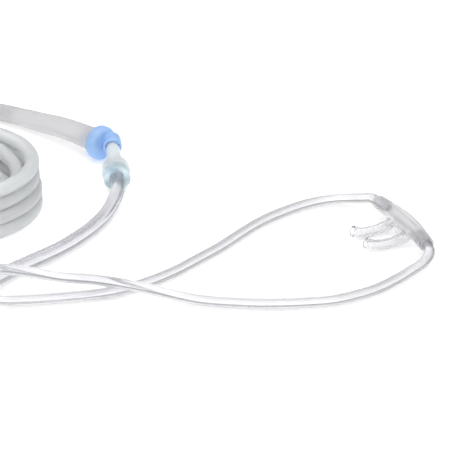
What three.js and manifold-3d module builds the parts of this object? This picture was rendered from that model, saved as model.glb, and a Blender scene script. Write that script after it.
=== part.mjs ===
// A nasal oxygen cannula with a short tail, a swivel and a coiled extension tube. Millimetres, +Z up.
// The cannula lies on a table at z = 0. +X runs towards the nosepiece end of the loop and +Y away from a
// person who stands in front of it. The origin is on the table, under the middle of the nosepiece.
import * as THREE from "three";
import { mergeVertices } from "three/addons/utils/BufferGeometryUtils.js";
import Module from "manifold-3d";

const wasm = await Module();
wasm.setup();

// Driving dimensions of the tubes
const LARIAT_OUTER = 4.0;
const SUPPLY_OUTER = 5.6;
const GALLERY_BORE = 3.0; // the air way inside every moulding
const SEAT_GAP = 0.3; // radial clearance of a tube or a spigot in its socket, and between pieces that touch

// Nosepiece: an oval body that bows away from the prongs
const NOSE = {
  halfLength: 20.4,
  middleWidth: 7.6,
  mouthWidth: 5.9,
  flatness: 0.86, // height over width
  bow: 1.6,
  axisHeight: 6.0,
  heading: -65.6, // degrees, from the far mouth to the near mouth
  middle: [-0.28, -7.0],
  socketDepth: 8.6,
  mouthLip: 0.35,
};
const PRONG = {
  outer: 4.1,
  bore: 2.9,
  rootSpacing: 12.4,
  tipSpacing: 10.7,
  reach: 20.0,
  tipHeight: 3.9, // of the prong's axis above the table
  beadOuter: 4.7,
  beadLength: 1.5,
};
const WEB = { thickness: 1.3, reach: 7.6, dip: 2.4 };

// Slide and junction on the straight run of the two lariat tubes
const RUN = { y: -82.5, height: 3.8, spacing: 6.0 };
const SLIDE = { length: 11, width: 12.4, height: 7.2, travel: 22, edge: 0.9 };
const JUNCTION = {
  tailEnd: -200,
  tailBarrel: 9.5,
  shoulder: 5.5,
  lariatBarrel: 7.5,
  tailOuter: 7.5,
  lariatOuter: 5.8,
  tailDepth: 8,
  lariatDepth: 7,
  webHeight: 4.4,
};

// Swivel: a round cap on the bell connector and a collar that the nozzle turns in
const SWIVEL = {
  centre: [-119.23, 61.86],
  height: 7.1,
  heading: -43.3,
  capOuter: 14,
  capLength: 5.0,
  capEdge: 1.3,
  spigotLength: 6,
  spigotOuter: 6.4,
  collarReach: 6.9, // from the cap's centre to the collar's mouth
  collarOuter: 7.8,
  collarDepth: 4.2,
};
const NOZZLE = { heading: -83.8, pitch: -3.2, outer: 4.8, collarSeat: 3.4, visible: 15.6, connectorSeat: 3.6 };
const TAIL_CONNECTOR = {
  outer: 11, length: 10.6, shoulderOuter: 7.4, ringOuter: 11.5, ringLength: 1.1, tubeSeat: 5.2,
};
const BELL = { mouthOuter: 9.7, tailOuter: 6.9, length: 57, wall: 1.1, tubeSeat: 9 };

// Coil of the extension tube: layers of turns, each one tube thick, counted from the table
const COIL = { middle: [-175.6, 16.2], outerTurn: 31.8, turnPitch: 5.8, turnsInLayer: [3, 3, 2, 1] };

// Socket at the extension's far end, for a 6.35 mm outlet barb
const END = { mouth: [-259, -12], heading: -90, height: 5.2, length: 26, mouthOuter: 10.2, mouthBore: 7.0,
  waistOuter: 7.6, barbDepth: 14, tubeSeat: 8 };

// The way from the middle of the table layout to the middle of the nosepiece's footprint
const FRAME_SHIFT = [6.24, 7.66];

const radians = THREE.MathUtils.degToRad;

// Solids and meshes

function toSolid(geometry) {
  const bare = geometry.clone();
  bare.deleteAttribute("normal");
  bare.deleteAttribute("uv");
  const merged = mergeVertices(bare, 1e-4);
  return new wasm.Manifold(
    new wasm.Mesh({
      numProp: 3,
      vertProperties: new Float32Array(merged.attributes.position.array),
      triVerts: new Uint32Array(merged.index.array),
    }),
  );
}

function toGeometry(solid) {
  const { vertProperties, triVerts } = solid.getMesh();
  const geometry = new THREE.BufferGeometry();
  geometry.setAttribute("position", new THREE.BufferAttribute(vertProperties, 3));
  geometry.setIndex(new THREE.BufferAttribute(triVerts, 1));
  const flat = geometry.toNonIndexed();
  flat.computeVertexNormals();
  return flat;
}

function piece(name, geometry, material) {
  const mesh = new THREE.Mesh(geometry, material);
  mesh.name = name;
  return mesh;
}

// A solid of revolution about local X. The profile lists [x, radius] points, outer side first, from low x
// to high x, and then the bore from high x back to low x. A solid one starts and ends on the axis.
function turned(profile, sides = 24) {
  const closed = profile[0][1] > 0;
  const points = profile.map(([x, radius]) => new THREE.Vector2(radius, x));
  if (closed) points.push(points[0].clone());
  return new THREE.LatheGeometry(points, sides).rotateZ(-Math.PI / 2);
}

function cylinder(fromX, toX, diameter, sides = 24) {
  return turned([[fromX, 0], [fromX, diameter / 2], [toX, diameter / 2], [toX, 0]], sides);
}

// A solid rod along a smooth curve through hand-chosen points, with a step every two and a half diameters
function rod(points, diameter, sides, stepLength = 2.5 * diameter) {
  const curve = new THREE.CatmullRomCurve3(points.map((point) => new THREE.Vector3(...point)), false, "centripetal");
  const section = new THREE.Shape();
  for (let side = 0; side < sides; side += 1) {
    const turn = (2 * Math.PI * side) / sides;
    const corner = [Math.cos(turn) * diameter / 2, Math.sin(turn) * diameter / 2];
    if (side === 0) section.moveTo(...corner);
    else section.lineTo(...corner);
  }
  section.closePath();
  const steps = Math.max(2, Math.round(curve.getLength() / stepLength));
  return new THREE.ExtrudeGeometry(section, { steps, extrudePath: curve, bevelEnabled: false });
}

// Moves each vertex (x, y, z) to the curve's point x millimetres along it, y to its left and z up
function bendAlong(geometry, curve) {
  const length = curve.getLength();
  const position = geometry.attributes.position;
  const up = new THREE.Vector3(0, 0, 1);
  for (let i = 0; i < position.count; i += 1) {
    const share = THREE.MathUtils.clamp(position.getX(i) / length, 0, 1);
    const ahead = curve.getTangentAt(share);
    const left = new THREE.Vector3().crossVectors(up, ahead).normalize();
    const over = new THREE.Vector3().crossVectors(ahead, left);
    const point = curve.getPointAt(share);
    point.addScaledVector(ahead, position.getX(i) - share * length);
    point.addScaledVector(left, position.getY(i)).addScaledVector(over, position.getZ(i));
    position.setXYZ(i, point.x, point.y, point.z);
  }
  return geometry;
}

// Points local X along a heading and a pitch in degrees, from a place
function pointAlong(object, place, heading, pitch = 0) {
  object.rotation.set(0, -radians(pitch), radians(heading), "ZYX");
  object.position.set(...place);
  return object;
}

function direction(heading, pitch = 0) {
  const flat = Math.cos(radians(pitch));
  return new THREE.Vector3(
    flat * Math.cos(radians(heading)),
    flat * Math.sin(radians(heading)),
    Math.sin(radians(pitch)),
  );
}

// Nosepiece, in its own frame: X from the far mouth to the near mouth, -Y out of the prongs, Z up

const bowAt = (x) => -NOSE.bow * (x / NOSE.halfLength) ** 2;

function bowed(geometry) {
  const position = geometry.attributes.position;
  for (let i = 0; i < position.count; i += 1) {
    const x = position.getX(i);
    position.setY(i, position.getY(i) + bowAt(x));
  }
  return geometry;
}

function prongPoints(side, beyondTip = 0) {
  const root = PRONG.rootSpacing / 2;
  const tip = PRONG.tipSpacing / 2;
  const rest = PRONG.outer / 2 - NOSE.axisHeight; // where the prong's axis lies when it touches the table
  const at = (share, height) => [side * (root + (tip - root) * share ** 2), -PRONG.reach * share, height];
  const points = [at(0, 0), at(0.19, rest * 0.72), at(0.4, rest * 0.95), at(0.6, rest), at(0.8, rest * 0.9)];
  points.push(at(1, PRONG.tipHeight - NOSE.axisHeight));
  if (beyondTip > 0) {
    const [before, last] = points.slice(-2).map((point) => new THREE.Vector3(...point));
    const ahead = last.clone().sub(before).normalize();
    points.push(last.addScaledVector(ahead, beyondTip).toArray());
  }
  return points;
}

function prongBead(side) {
  const [before, tip] = prongPoints(side).slice(-2).map((point) => new THREE.Vector3(...point));
  const ahead = tip.clone().sub(before).normalize();
  const { beadOuter, beadLength, outer } = PRONG;
  const bead = new THREE.Mesh(turned([
    [-beadLength, 0],
    [-beadLength, outer / 2 - 0.1],
    [-beadLength * 0.6, beadOuter / 2],
    [-beadLength * 0.2, beadOuter / 2],
    [0.15, outer / 2 - 0.1],
    [0.15, 0],
  ], 20));
  bead.quaternion.setFromUnitVectors(new THREE.Vector3(1, 0, 0), ahead);
  bead.position.copy(tip);
  bead.updateMatrix();
  return bead.geometry.applyMatrix4(bead.matrix);
}

// The thin shelf between the prong roots, with a hollow front edge
function prongWeb() {
  const half = PRONG.rootSpacing / 2;
  const outline = new THREE.Shape();
  outline.moveTo(-half, 0);
  outline.lineTo(-half, -WEB.reach);
  outline.quadraticCurveTo(0, -WEB.reach + 2 * WEB.dip, half, -WEB.reach);
  outline.lineTo(half, 0);
  outline.closePath();
  const web = new THREE.ExtrudeGeometry(outline, { depth: WEB.thickness, curveSegments: 8, bevelEnabled: false });
  const fall = Math.atan2(0.45 * NOSE.axisHeight, WEB.reach);
  return web.translate(0, 0, -WEB.thickness / 2).rotateX(fall);
}

function nosepieceGeometry() {
  const { halfLength, middleWidth, mouthWidth, flatness, socketDepth, mouthLip } = NOSE;
  const outline = [[-halfLength, 0]];
  const stations = 12;
  for (let i = 0; i <= stations; i += 1) {
    const along = -1 + (2 * i) / stations;
    const swell = Math.cos((along * Math.PI) / 2) ** 2;
    outline.push([along * halfLength, (mouthWidth + (middleWidth - mouthWidth) * swell) / 2]);
  }
  outline.push([halfLength, 0]);
  const oval = turned(outline, 28);
  const position = oval.attributes.position;
  for (let i = 0; i < position.count; i += 1) {
    const middle = Math.cos((position.getX(i) / halfLength) * (Math.PI / 2));
    position.setZ(i, position.getZ(i) * (1 - (1 - flatness) * middle));
  }
  let solid = toSolid(bowed(oval));
  solid = solid.add(toSolid(prongWeb()));
  for (const side of [-1, 1]) {
    solid = solid.add(toSolid(rod(prongPoints(side), PRONG.outer, 18, 2.2)));
    solid = solid.add(toSolid(prongBead(side)));
  }
  const tubeSocket = LARIAT_OUTER + 2 * SEAT_GAP;
  const reach = halfLength + 1;
  const gallery = [[-reach, 0]];
  const inner = halfLength - socketDepth;
  gallery.push([-reach, tubeSocket / 2 + mouthLip], [-halfLength + mouthLip, tubeSocket / 2]);
  gallery.push([-inner, tubeSocket / 2], [-inner + 0.01, GALLERY_BORE / 2]);
  for (const share of [-0.5, 0, 0.5]) gallery.push([share * inner, GALLERY_BORE / 2]);
  gallery.push([inner - 0.01, GALLERY_BORE / 2], [inner, tubeSocket / 2]);
  gallery.push([halfLength - mouthLip, tubeSocket / 2], [reach, tubeSocket / 2 + mouthLip], [reach, 0]);
  solid = solid.subtract(toSolid(bowed(turned(gallery, 20))));
  for (const side of [-1, 1]) {
    solid = solid.subtract(toSolid(rod(prongPoints(side, 1.5), PRONG.bore, 16, 2.2)));
  }
  return toGeometry(solid);
}

// A point on the nosepiece's bowed axis, in the table layout
function noseAxis(x) {
  const ahead = direction(NOSE.heading);
  const left = direction(NOSE.heading + 90);
  return [
    NOSE.middle[0] + ahead.x * x + left.x * bowAt(x),
    NOSE.middle[1] + ahead.y * x + left.y * bowAt(x),
    NOSE.axisHeight,
  ];
}

// Junction: two lariat sockets side by side, a flat web and one socket for the tail tube. Local X runs from
// the tail end to the lariat end.

const junctionLength = JUNCTION.tailBarrel + JUNCTION.shoulder + JUNCTION.lariatBarrel;

function junctionGeometry() {
  const { tailBarrel, shoulder, tailOuter, lariatOuter, tailDepth, lariatDepth, webHeight } = JUNCTION;
  const fork = tailBarrel + shoulder;
  const sideways = RUN.spacing / 2;
  let solid = toSolid(turned([
    [0, 0], [0, tailOuter / 2 - 0.4], [0.4, tailOuter / 2], [tailBarrel, tailOuter / 2],
    [tailBarrel + 2.5, tailOuter / 2 - 1.2], [tailBarrel + 2.5, 0],
  ]));
  const plan = new THREE.Shape();
  plan.moveTo(tailBarrel - 3, -tailOuter / 2 + 0.2);
  plan.lineTo(fork, -sideways - lariatOuter / 2 + 0.1);
  plan.lineTo(junctionLength - 1.5, -sideways - lariatOuter / 2 + 0.1);
  plan.lineTo(junctionLength - 1.5, sideways + lariatOuter / 2 - 0.1);
  plan.lineTo(fork, sideways + lariatOuter / 2 - 0.1);
  plan.lineTo(tailBarrel - 3, tailOuter / 2 - 0.2);
  plan.closePath();
  const web = new THREE.ExtrudeGeometry(plan, { depth: webHeight, bevelEnabled: false });
  solid = solid.add(toSolid(web.translate(0, 0, -webHeight / 2)));
  for (const side of [-1, 1]) {
    const barrel = turned([
      [fork - 2, 0], [fork - 2, lariatOuter / 2 - 0.8], [fork, lariatOuter / 2],
      [junctionLength - 0.4, lariatOuter / 2], [junctionLength, lariatOuter / 2 - 0.3], [junctionLength, 0],
    ]);
    solid = solid.add(toSolid(barrel.translate(0, side * sideways, 0)));
  }
  solid = solid.subtract(toSolid(cylinder(-1, tailDepth, SUPPLY_OUTER + 2 * SEAT_GAP)));
  for (const side of [-1, 1]) {
    const socket = cylinder(junctionLength - lariatDepth, junctionLength + 1, LARIAT_OUTER + 2 * SEAT_GAP);
    solid = solid.subtract(toSolid(socket.translate(0, side * sideways, 0)));
    const from = [tailDepth - 1, 0, 0];
    const to = [junctionLength - lariatDepth + 1, side * sideways, 0];
    solid = solid.subtract(toSolid(rod([from, to], GALLERY_BORE, 16)));
  }
  return toGeometry(solid);
}

function slideGeometry() {
  const { length, width, height, edge } = SLIDE;
  const round = height / 2 - edge;
  const flat = width / 2 - edge - round;
  const outline = new THREE.Shape();
  outline.absarc(flat, 0, round, -Math.PI / 2, Math.PI / 2, false);
  outline.absarc(-flat, 0, round, Math.PI / 2, (3 * Math.PI) / 2, false);
  outline.closePath();
  const block = new THREE.ExtrudeGeometry(outline, {
    depth: length - 2 * edge,
    curveSegments: 10,
    bevelThickness: edge,
    bevelSize: edge,
    bevelSegments: 3,
  });
  // the outline's width goes to local Y and its depth to local X
  block.translate(0, 0, edge).rotateX(Math.PI / 2).rotateZ(Math.PI / 2);
  let solid = toSolid(block);
  for (const side of [-1, 1]) {
    const hole = cylinder(-1, length + 1, LARIAT_OUTER + 2 * SEAT_GAP);
    solid = solid.subtract(toSolid(hole.translate(0, (side * RUN.spacing) / 2, 0)));
  }
  return toGeometry(solid);
}

// Swivel, in its own frame: X from the bell connector through the cap's centre to the collar

const elbowTurn = NOZZLE.heading - SWIVEL.heading;

function swivelGeometry() {
  const { capOuter, capLength, capEdge, spigotLength, spigotOuter } = SWIVEL;
  const { collarReach, collarOuter, collarDepth } = SWIVEL;
  const half = capLength / 2;
  const cap = turned([
    [-half, 0], [-half, capOuter / 2 - capEdge], [-half + capEdge * 0.35, capOuter / 2 - capEdge * 0.35],
    [-half + capEdge, capOuter / 2], [half - capEdge, capOuter / 2],
    [half - capEdge * 0.35, capOuter / 2 - capEdge * 0.35], [half, capOuter / 2 - capEdge], [half, 0],
  ], 36);
  const spigot = turned([
    [-half - spigotLength, 0], [-half - spigotLength, spigotOuter / 2 - 0.4],
    [-half - spigotLength + 1, spigotOuter / 2], [0, spigotOuter / 2], [0, 0],
  ]);
  const collar = turned([
    [-collarReach, 0], [-collarReach, collarOuter / 2 - 0.6], [-collarReach + 0.8, collarOuter / 2],
    [-0.5, collarOuter / 2], [0, collarOuter / 2 - 0.4], [0, 0],
  ]);
  const towardsNozzle = (geometry) => {
    const holder = pointAlong(new THREE.Mesh(geometry), [collarReach, 0, 0], elbowTurn, NOZZLE.pitch);
    holder.updateMatrix();
    return geometry.applyMatrix4(holder.matrix);
  };
  let solid = toSolid(cap).add(toSolid(spigot)).add(toSolid(towardsNozzle(collar)));
  const seat = cylinder(-collarDepth, 1, NOZZLE.outer + 2 * SEAT_GAP);
  const seatBack = direction(elbowTurn, NOZZLE.pitch).multiplyScalar(0.5 - collarDepth);
  const airWay = rod(
    [[-half - spigotLength - 1, 0, 0], [-half, 0, 0], [collarReach + seatBack.x, seatBack.y, seatBack.z]],
    GALLERY_BORE, 16, 2,
  );
  return toGeometry(solid.subtract(toSolid(towardsNozzle(seat))).subtract(toSolid(airWay)));
}

function onSwivelAxis(along) {
  const ahead = direction(SWIVEL.heading).multiplyScalar(along);
  return [SWIVEL.centre[0] + ahead.x, SWIVEL.centre[1] + ahead.y, SWIVEL.height];
}

// Places along the nozzle's axis, counted from the collar's mouth
function onNozzleAxis(along) {
  const [x, y, z] = onSwivelAxis(SWIVEL.collarReach);
  const ahead = direction(NOZZLE.heading, NOZZLE.pitch).multiplyScalar(along);
  return [x + ahead.x, y + ahead.y, z + ahead.z];
}

function nozzleGeometry() {
  const { outer, collarSeat, visible, connectorSeat } = NOZZLE;
  const from = -collarSeat;
  const to = visible + connectorSeat;
  const bore = GALLERY_BORE / 2;
  return turned([
    [from, outer / 2 - 0.3], [from + 0.5, outer / 2], [visible - 3, outer / 2], [to - 0.5, outer / 2],
    [to, outer / 2 - 0.3], [to, bore], [from, bore],
  ]);
}

function tailConnectorGeometry() {
  const { outer, length, shoulderOuter, ringOuter, ringLength, tubeSeat } = TAIL_CONNECTOR;
  const nozzleSeat = (NOZZLE.outer + 2 * SEAT_GAP) / 2;
  const tubeBore = (SUPPLY_OUTER + 2 * SEAT_GAP) / 2;
  const seatEnd = NOZZLE.connectorSeat + SEAT_GAP;
  const ringAt = length * 0.42;
  return turned([
    [0, shoulderOuter / 2], [0.9, outer / 2 - 0.7], [1.8, outer / 2],
    [ringAt, outer / 2], [ringAt + 0.2, ringOuter / 2], [ringAt + ringLength, ringOuter / 2],
    [ringAt + ringLength + 0.2, outer / 2], [length - 0.8, outer / 2], [length, outer / 2 - 0.5],
    [length, tubeBore], [length - tubeSeat, tubeBore], [length - tubeSeat - 0.01, GALLERY_BORE / 2],
    [seatEnd + 0.01, GALLERY_BORE / 2], [seatEnd, nozzleSeat], [0, nozzleSeat],
  ], 32);
}

// Bell connector: a soft sleeve that flares towards the swivel. Its axis is a smooth curve that starts at
// the cap's back face.

const bellStart = -SWIVEL.capLength / 2 - SEAT_GAP;
const bellCurve = new THREE.CatmullRomCurve3([
  onSwivelAxis(bellStart), onSwivelAxis(bellStart - SWIVEL.spigotLength / 2),
  onSwivelAxis(bellStart - SWIVEL.spigotLength), onSwivelAxis(bellStart - SWIVEL.spigotLength - 2),
  [-135.0, 76.9, 6.6], [-141.5, 82.8, 5.6], [-148.5, 88.8, 4.7], [-155.5, 94.2, 4.1],
  [-162.8, 99.0, 3.8], [-171.5, 103.6, BELL.tailOuter / 2 + 0.1],
].map((point) => new THREE.Vector3(...point)), false, "centripetal");

function bellGeometry() {
  const { mouthOuter, tailOuter, length, wall, tubeSeat } = BELL;
  const spigotSeat = (SWIVEL.spigotOuter + 2 * SEAT_GAP) / 2;
  const tubeBore = (SUPPLY_OUTER + 2 * SEAT_GAP) / 2;
  const stations = 10;
  const outerAt = (share) => (tailOuter + (mouthOuter - tailOuter) * (1 - share)) / 2;
  const profile = [];
  for (let i = 0; i <= stations; i += 1) profile.push([(length * i) / stations, outerAt(i / stations)]);
  profile.push([length, tubeBore], [length - tubeSeat, tubeBore], [length - tubeSeat - 0.3, GALLERY_BORE / 2 + 0.3]);
  for (const share of [0.7, 0.55, 0.4, 0.25]) {
    profile.push([length * share, Math.min(outerAt(share) - wall, spigotSeat)]);
  }
  profile.push([SWIVEL.spigotLength + 1, spigotSeat], [0, spigotSeat]);
  return bendAlong(turned(profile, 22), bellCurve);
}

// Coil: the outer shape of all its turns, one step of the ring's section for each layer

function coilGeometry() {
  const { outerTurn, turnPitch, turnsInLayer } = COIL;
  const outer = outerTurn + SUPPLY_OUTER / 2;
  const innerOf = (turns) => outerTurn - (turns - 1) * turnPitch - SUPPLY_OUTER / 2;
  const height = turnsInLayer.length * SUPPLY_OUTER;
  const section = [[outer, 0], [outer, height]];
  for (let layer = turnsInLayer.length - 1; layer >= 0; layer -= 1) {
    const inner = innerOf(turnsInLayer[layer]);
    if (layer === turnsInLayer.length - 1 || turnsInLayer[layer] !== turnsInLayer[layer + 1]) {
      section.push([inner, (layer + 1) * SUPPLY_OUTER]);
    }
    if (layer === 0 || turnsInLayer[layer] !== turnsInLayer[layer - 1]) section.push([inner, layer * SUPPLY_OUTER]);
  }
  const points = section.map(([radius, z]) => new THREE.Vector2(radius, z));
  points.push(points[0].clone());
  return new THREE.LatheGeometry(points, 40).rotateX(Math.PI / 2);
}

function endConnectorGeometry() {
  const { length, mouthOuter, mouthBore, waistOuter, barbDepth, tubeSeat } = END;
  const tubeBore = (SUPPLY_OUTER + 2 * SEAT_GAP) / 2;
  return turned([
    [0, waistOuter / 2 - 0.4], [0.5, waistOuter / 2], [length * 0.35, waistOuter / 2],
    [length * 0.5, mouthOuter / 2 - 0.5], [length - 1.6, mouthOuter / 2 - 0.2], [length - 1.4, mouthOuter / 2],
    [length, mouthOuter / 2], [length, mouthBore / 2], [length - barbDepth, mouthBore / 2 - 0.4],
    [length - barbDepth - 0.5, GALLERY_BORE / 2], [tubeSeat + 0.01, GALLERY_BORE / 2], [tubeSeat, tubeBore],
    [0, tubeBore],
  ]);
}

// Materials

const plastic = (color, roughness, opacity) =>
  new THREE.MeshStandardMaterial({ color, roughness, metalness: 0, opacity, transparent: opacity < 1 });
const clearVinyl = plastic(0xe4e4ec, 0.16, 0.45);
const frostedVinyl = plastic(0xc9c9d2, 0.4, 0.8);
const softGreyVinyl = plastic(0xb9b7c2, 0.35, 0.8);
const bluePlastic = plastic(0x3f78d8, 0.28, 0.92);
const tealPlastic = plastic(0x7fb3c4, 0.22, 0.75);

// Assembly, in the table layout

const layout = new THREE.Group();

const nosepiece = piece("nosepiece", nosepieceGeometry(), frostedVinyl);
pointAlong(nosepiece, [...NOSE.middle, NOSE.axisHeight], NOSE.heading);
layout.add(nosepiece);

const tubeStop = NOSE.halfLength - NOSE.socketDepth + SEAT_GAP;
const junctionMouth = JUNCTION.tailEnd - junctionLength;
const lariatStop = junctionMouth + JUNCTION.lariatDepth - SEAT_GAP;
const nearRun = RUN.y - RUN.spacing / 2;
const farRun = RUN.y + RUN.spacing / 2;

const nearRoute = [
  noseAxis(tubeStop), noseAxis((tubeStop + NOSE.halfLength) / 2), noseAxis(NOSE.halfLength),
  [7.4, -29.4, 5.0], [6.1, -33.2, 4.1], [3.9, -36.2, 3.4], [1.2, -38.8, 2.9], [-5.0, -44.9, 2.2],
  [-13.1, -52.7, 2.05], [-19.9, -57.2, 2.05], [-29.1, -61.5, 2.05], [-41.8, -63.6, 2.05], [-52.7, -64.2, 2.05],
  [-63.5, -63.8, 2.1], [-78.0, -61.9, 2.3], [-88.9, -60.1, 3.8], [-98.0, -59.0, 5.6], [-107.1, -57.1, 6.5],
  [-116.4, -53.4, 6.0], [-129.4, -49.3, 5.0], [-140.3, -49.3, 7.0], [-151.2, -49.1, 8.3], [-158.0, -48.9, 8.5],
  [-166.0, -48.5, 7.6], [-178.0, -47.6, 4.4], [-190.0, -46.6, 2.6], [-202.0, -45.6, 2.15],
  [-215.0, -44.5, 2.1], [-240.0, -43.0, 2.05],
  [-261.0, -46.5, 2.05], [-273.5, -56.0, 2.05], [-276.5, -68.0, 2.3], [-271.0, -80.0, 3.2],
  [-259.5, nearRun, RUN.height], [-256.2, nearRun, RUN.height], [-248.0, nearRun, RUN.height],
  [-236.0, nearRun, RUN.height],
  [junctionMouth, nearRun, RUN.height], [lariatStop, nearRun, RUN.height],
];
const farRoute = [
  noseAxis(-tubeStop), noseAxis(-(tubeStop + NOSE.halfLength) / 2), noseAxis(-NOSE.halfLength),
  [-12.2, 15.0, 5.3], [-15.0, 16.4, 4.7], [-19.5, 18.4, 3.6], [-25.7, 19.8, 2.6], [-31.9, 18.9, 2.1],
  [-39.8, 14.8, 2.0], [-51.6, 5.0, 2.0], [-59.4, -3.9, 2.0], [-70.9, -19.9, 2.0], [-78.3, -28.7, 2.0],
  [-87.5, -39.2, 2.0], [-96.5, -47.2, 2.0], [-105.5, -53.0, 2.0], [-114.5, -56.6, 2.0], [-128.9, -59.7, 2.0],
  [-139.7, -61.6, 2.2], [-150.5, -64.6, 3.6], [-160.0, -65.4, 6.6], [-168.5, -65.0, 8.4], [-178.0, -63.4, 7.2],
  [-190.0, -60.2, 3.6], [-203.0, -58.2, 2.1], [-222.0, -55.0, 2.0], [-244.0, -51.5, 2.0], [-256.0, -52.4, 2.0],
  [-266.5, -58.6, 2.0], [-269.0, -68.0, 2.4], [-265.5, -76.0, 3.2], [-257.5, farRun, RUN.height],
  [-256.2, farRun, RUN.height], [-247.0, farRun, RUN.height], [-236.0, farRun, RUN.height],
  [junctionMouth, farRun, RUN.height], [lariatStop, farRun, RUN.height],
];
layout.add(piece("lariat_near", rod(nearRoute, LARIAT_OUTER, 8), clearVinyl));
layout.add(piece("lariat_far", rod(farRoute, LARIAT_OUTER, 8), clearVinyl));

const junction = piece("y_junction", junctionGeometry(), clearVinyl);
layout.add(pointAlong(junction, [JUNCTION.tailEnd, RUN.y, RUN.height], 180));

const slide = piece("slide", slideGeometry(), clearVinyl);
layout.add(pointAlong(slide, [junctionMouth - SEAT_GAP, RUN.y, RUN.height], 180));

const tailStop = NOZZLE.visible + TAIL_CONNECTOR.length - TAIL_CONNECTOR.tubeSeat + SEAT_GAP;
const tailMouth = NOZZLE.visible + TAIL_CONNECTOR.length;
const tailRoute = [
  onNozzleAxis(tailStop), onNozzleAxis(tailMouth), onNozzleAxis(tailMouth + 4),
  [-111.1, 21.0, 4.6], [-112.1, 16.0, 4.0], [-113.6, 10.0, 3.4], [-115.6, 4.0, 2.9], [-118.5, -2.8, 2.8],
  [-121.2, -8.2, 2.8], [-126.0, -15.8, 2.8], [-131.1, -22.8, 2.8], [-136.2, -28.3, 2.8], [-141.5, -33.6, 2.8],
  [-146.7, -38.9, 2.8], [-151.7, -44.6, 2.8], [-157.0, -50.4, 2.8], [-163.0, -57.0, 2.8], [-170.0, -64.8, 2.8],
  [-177.0, -73.0, 2.8], [-184.5, -79.6, 3.0], [JUNCTION.tailEnd + 7, RUN.y, RUN.height],
  [JUNCTION.tailEnd, RUN.y, RUN.height],
  [JUNCTION.tailEnd - JUNCTION.tailDepth + SEAT_GAP, RUN.y, RUN.height],
];
layout.add(piece("tail_tube", rod(tailRoute, SUPPLY_OUTER, 10), clearVinyl));

const tailConnector = piece("tail_connector", tailConnectorGeometry(), tealPlastic);
layout.add(pointAlong(tailConnector, onNozzleAxis(NOZZLE.visible), NOZZLE.heading, NOZZLE.pitch));

const nozzle = piece("nozzle", nozzleGeometry(), clearVinyl);
layout.add(pointAlong(nozzle, onNozzleAxis(0), NOZZLE.heading, NOZZLE.pitch));

const swivel = piece("swivel_elbow", swivelGeometry(), bluePlastic);
layout.add(pointAlong(swivel, onSwivelAxis(0), SWIVEL.heading));

layout.add(piece("bell_connector", bellGeometry(), softGreyVinyl));

const coil = piece("extension_coil", coilGeometry(), clearVinyl);
coil.position.set(...COIL.middle, 0);
layout.add(coil);

const bellLength = bellCurve.getLength();
const onBell = (along) => {
  const share = along / bellLength;
  return bellCurve.getPointAt(Math.min(share, 1)).toArray();
};
// The lead runs into the coil's lowest turn and the tail leaves its top one, each up to where it meets the ring
const turnsReach = COIL.outerTurn + SUPPLY_OUTER / 2 + SEAT_GAP;
const meeting = Math.sqrt(turnsReach ** 2 - (COIL.outerTurn - SUPPLY_OUTER / 2) ** 2) + 0.1;
const leftOfCoil = COIL.middle[0] - COIL.outerTurn;
const backOfCoil = COIL.middle[1] + COIL.outerTurn;
const leadRoute = [
  onBell(BELL.length - BELL.tubeSeat + SEAT_GAP), onBell(BELL.length - BELL.tubeSeat / 2), onBell(BELL.length),
  [-183.0, 107.6, 2.9], [-195.0, 107.2, 2.8], [-205.0, 101.6, 2.8], [-210.6, 91.0, 2.8], [-211.8, 78.0, 2.8],
  [-210.4, 63.0, 2.8], [-208.6, 51.0, 2.8], [leftOfCoil - 0.2, COIL.middle[1] + meeting + 7, 2.8],
  [leftOfCoil, COIL.middle[1] + meeting, 2.8],
];
layout.add(piece("extension_lead", rod(leadRoute, SUPPLY_OUTER, 10), clearVinyl));

const topTurn = (COIL.turnsInLayer.length - 0.5) * SUPPLY_OUTER;
const endRoute = [
  [COIL.middle[0] - meeting, backOfCoil, topTurn], [COIL.middle[0] - meeting - 7, backOfCoil + 0.2, topTurn - 1.6],
  [-211.0, 48.8, 14.0], [-221.0, 49.4, 9.0], [-232.0, 48.0, 5.4], [-243.0, 43.8, 3.6], [-252.0, 36.5, 3.8],
  [-257.0, 28.0, 4.7], [END.mouth[0], END.mouth[1] + END.length + 7, END.height],
  [END.mouth[0], END.mouth[1] + END.length, END.height],
  [END.mouth[0], END.mouth[1] + END.length - END.tubeSeat + SEAT_GAP, END.height],
];
layout.add(piece("extension_tail", rod(endRoute, SUPPLY_OUTER, 10), clearVinyl));

const endConnector = piece("end_connector", endConnectorGeometry(), clearVinyl);
layout.add(pointAlong(endConnector, [END.mouth[0], END.mouth[1] + END.length, END.height], END.heading));

layout.position.set(...FRAME_SHIFT, 0);

const cannula = new THREE.Group();
cannula.add(layout);

export default cannula;
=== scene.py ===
# %% [markdown]
# # A nasal oxygen cannula on a white table
# A cannula is a loop of clear soft tube. A small moulding in the loop, the nosepiece, carries two curved
# prongs, and both ends of the loop run through a slide into a junction. From there a thicker tail tube goes
# to a connector, a swivel and a flared sleeve, and the long extension tube after them lies in a coil.
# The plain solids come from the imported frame. This script gives them their real look: hollow tubes with
# true walls, soft mouldings with rounded edges, and clear, cloudy and tinted plastics.

# %% Load the frame
import math

import bmesh
import bpy
from mathutils import Matrix, Vector


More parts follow.
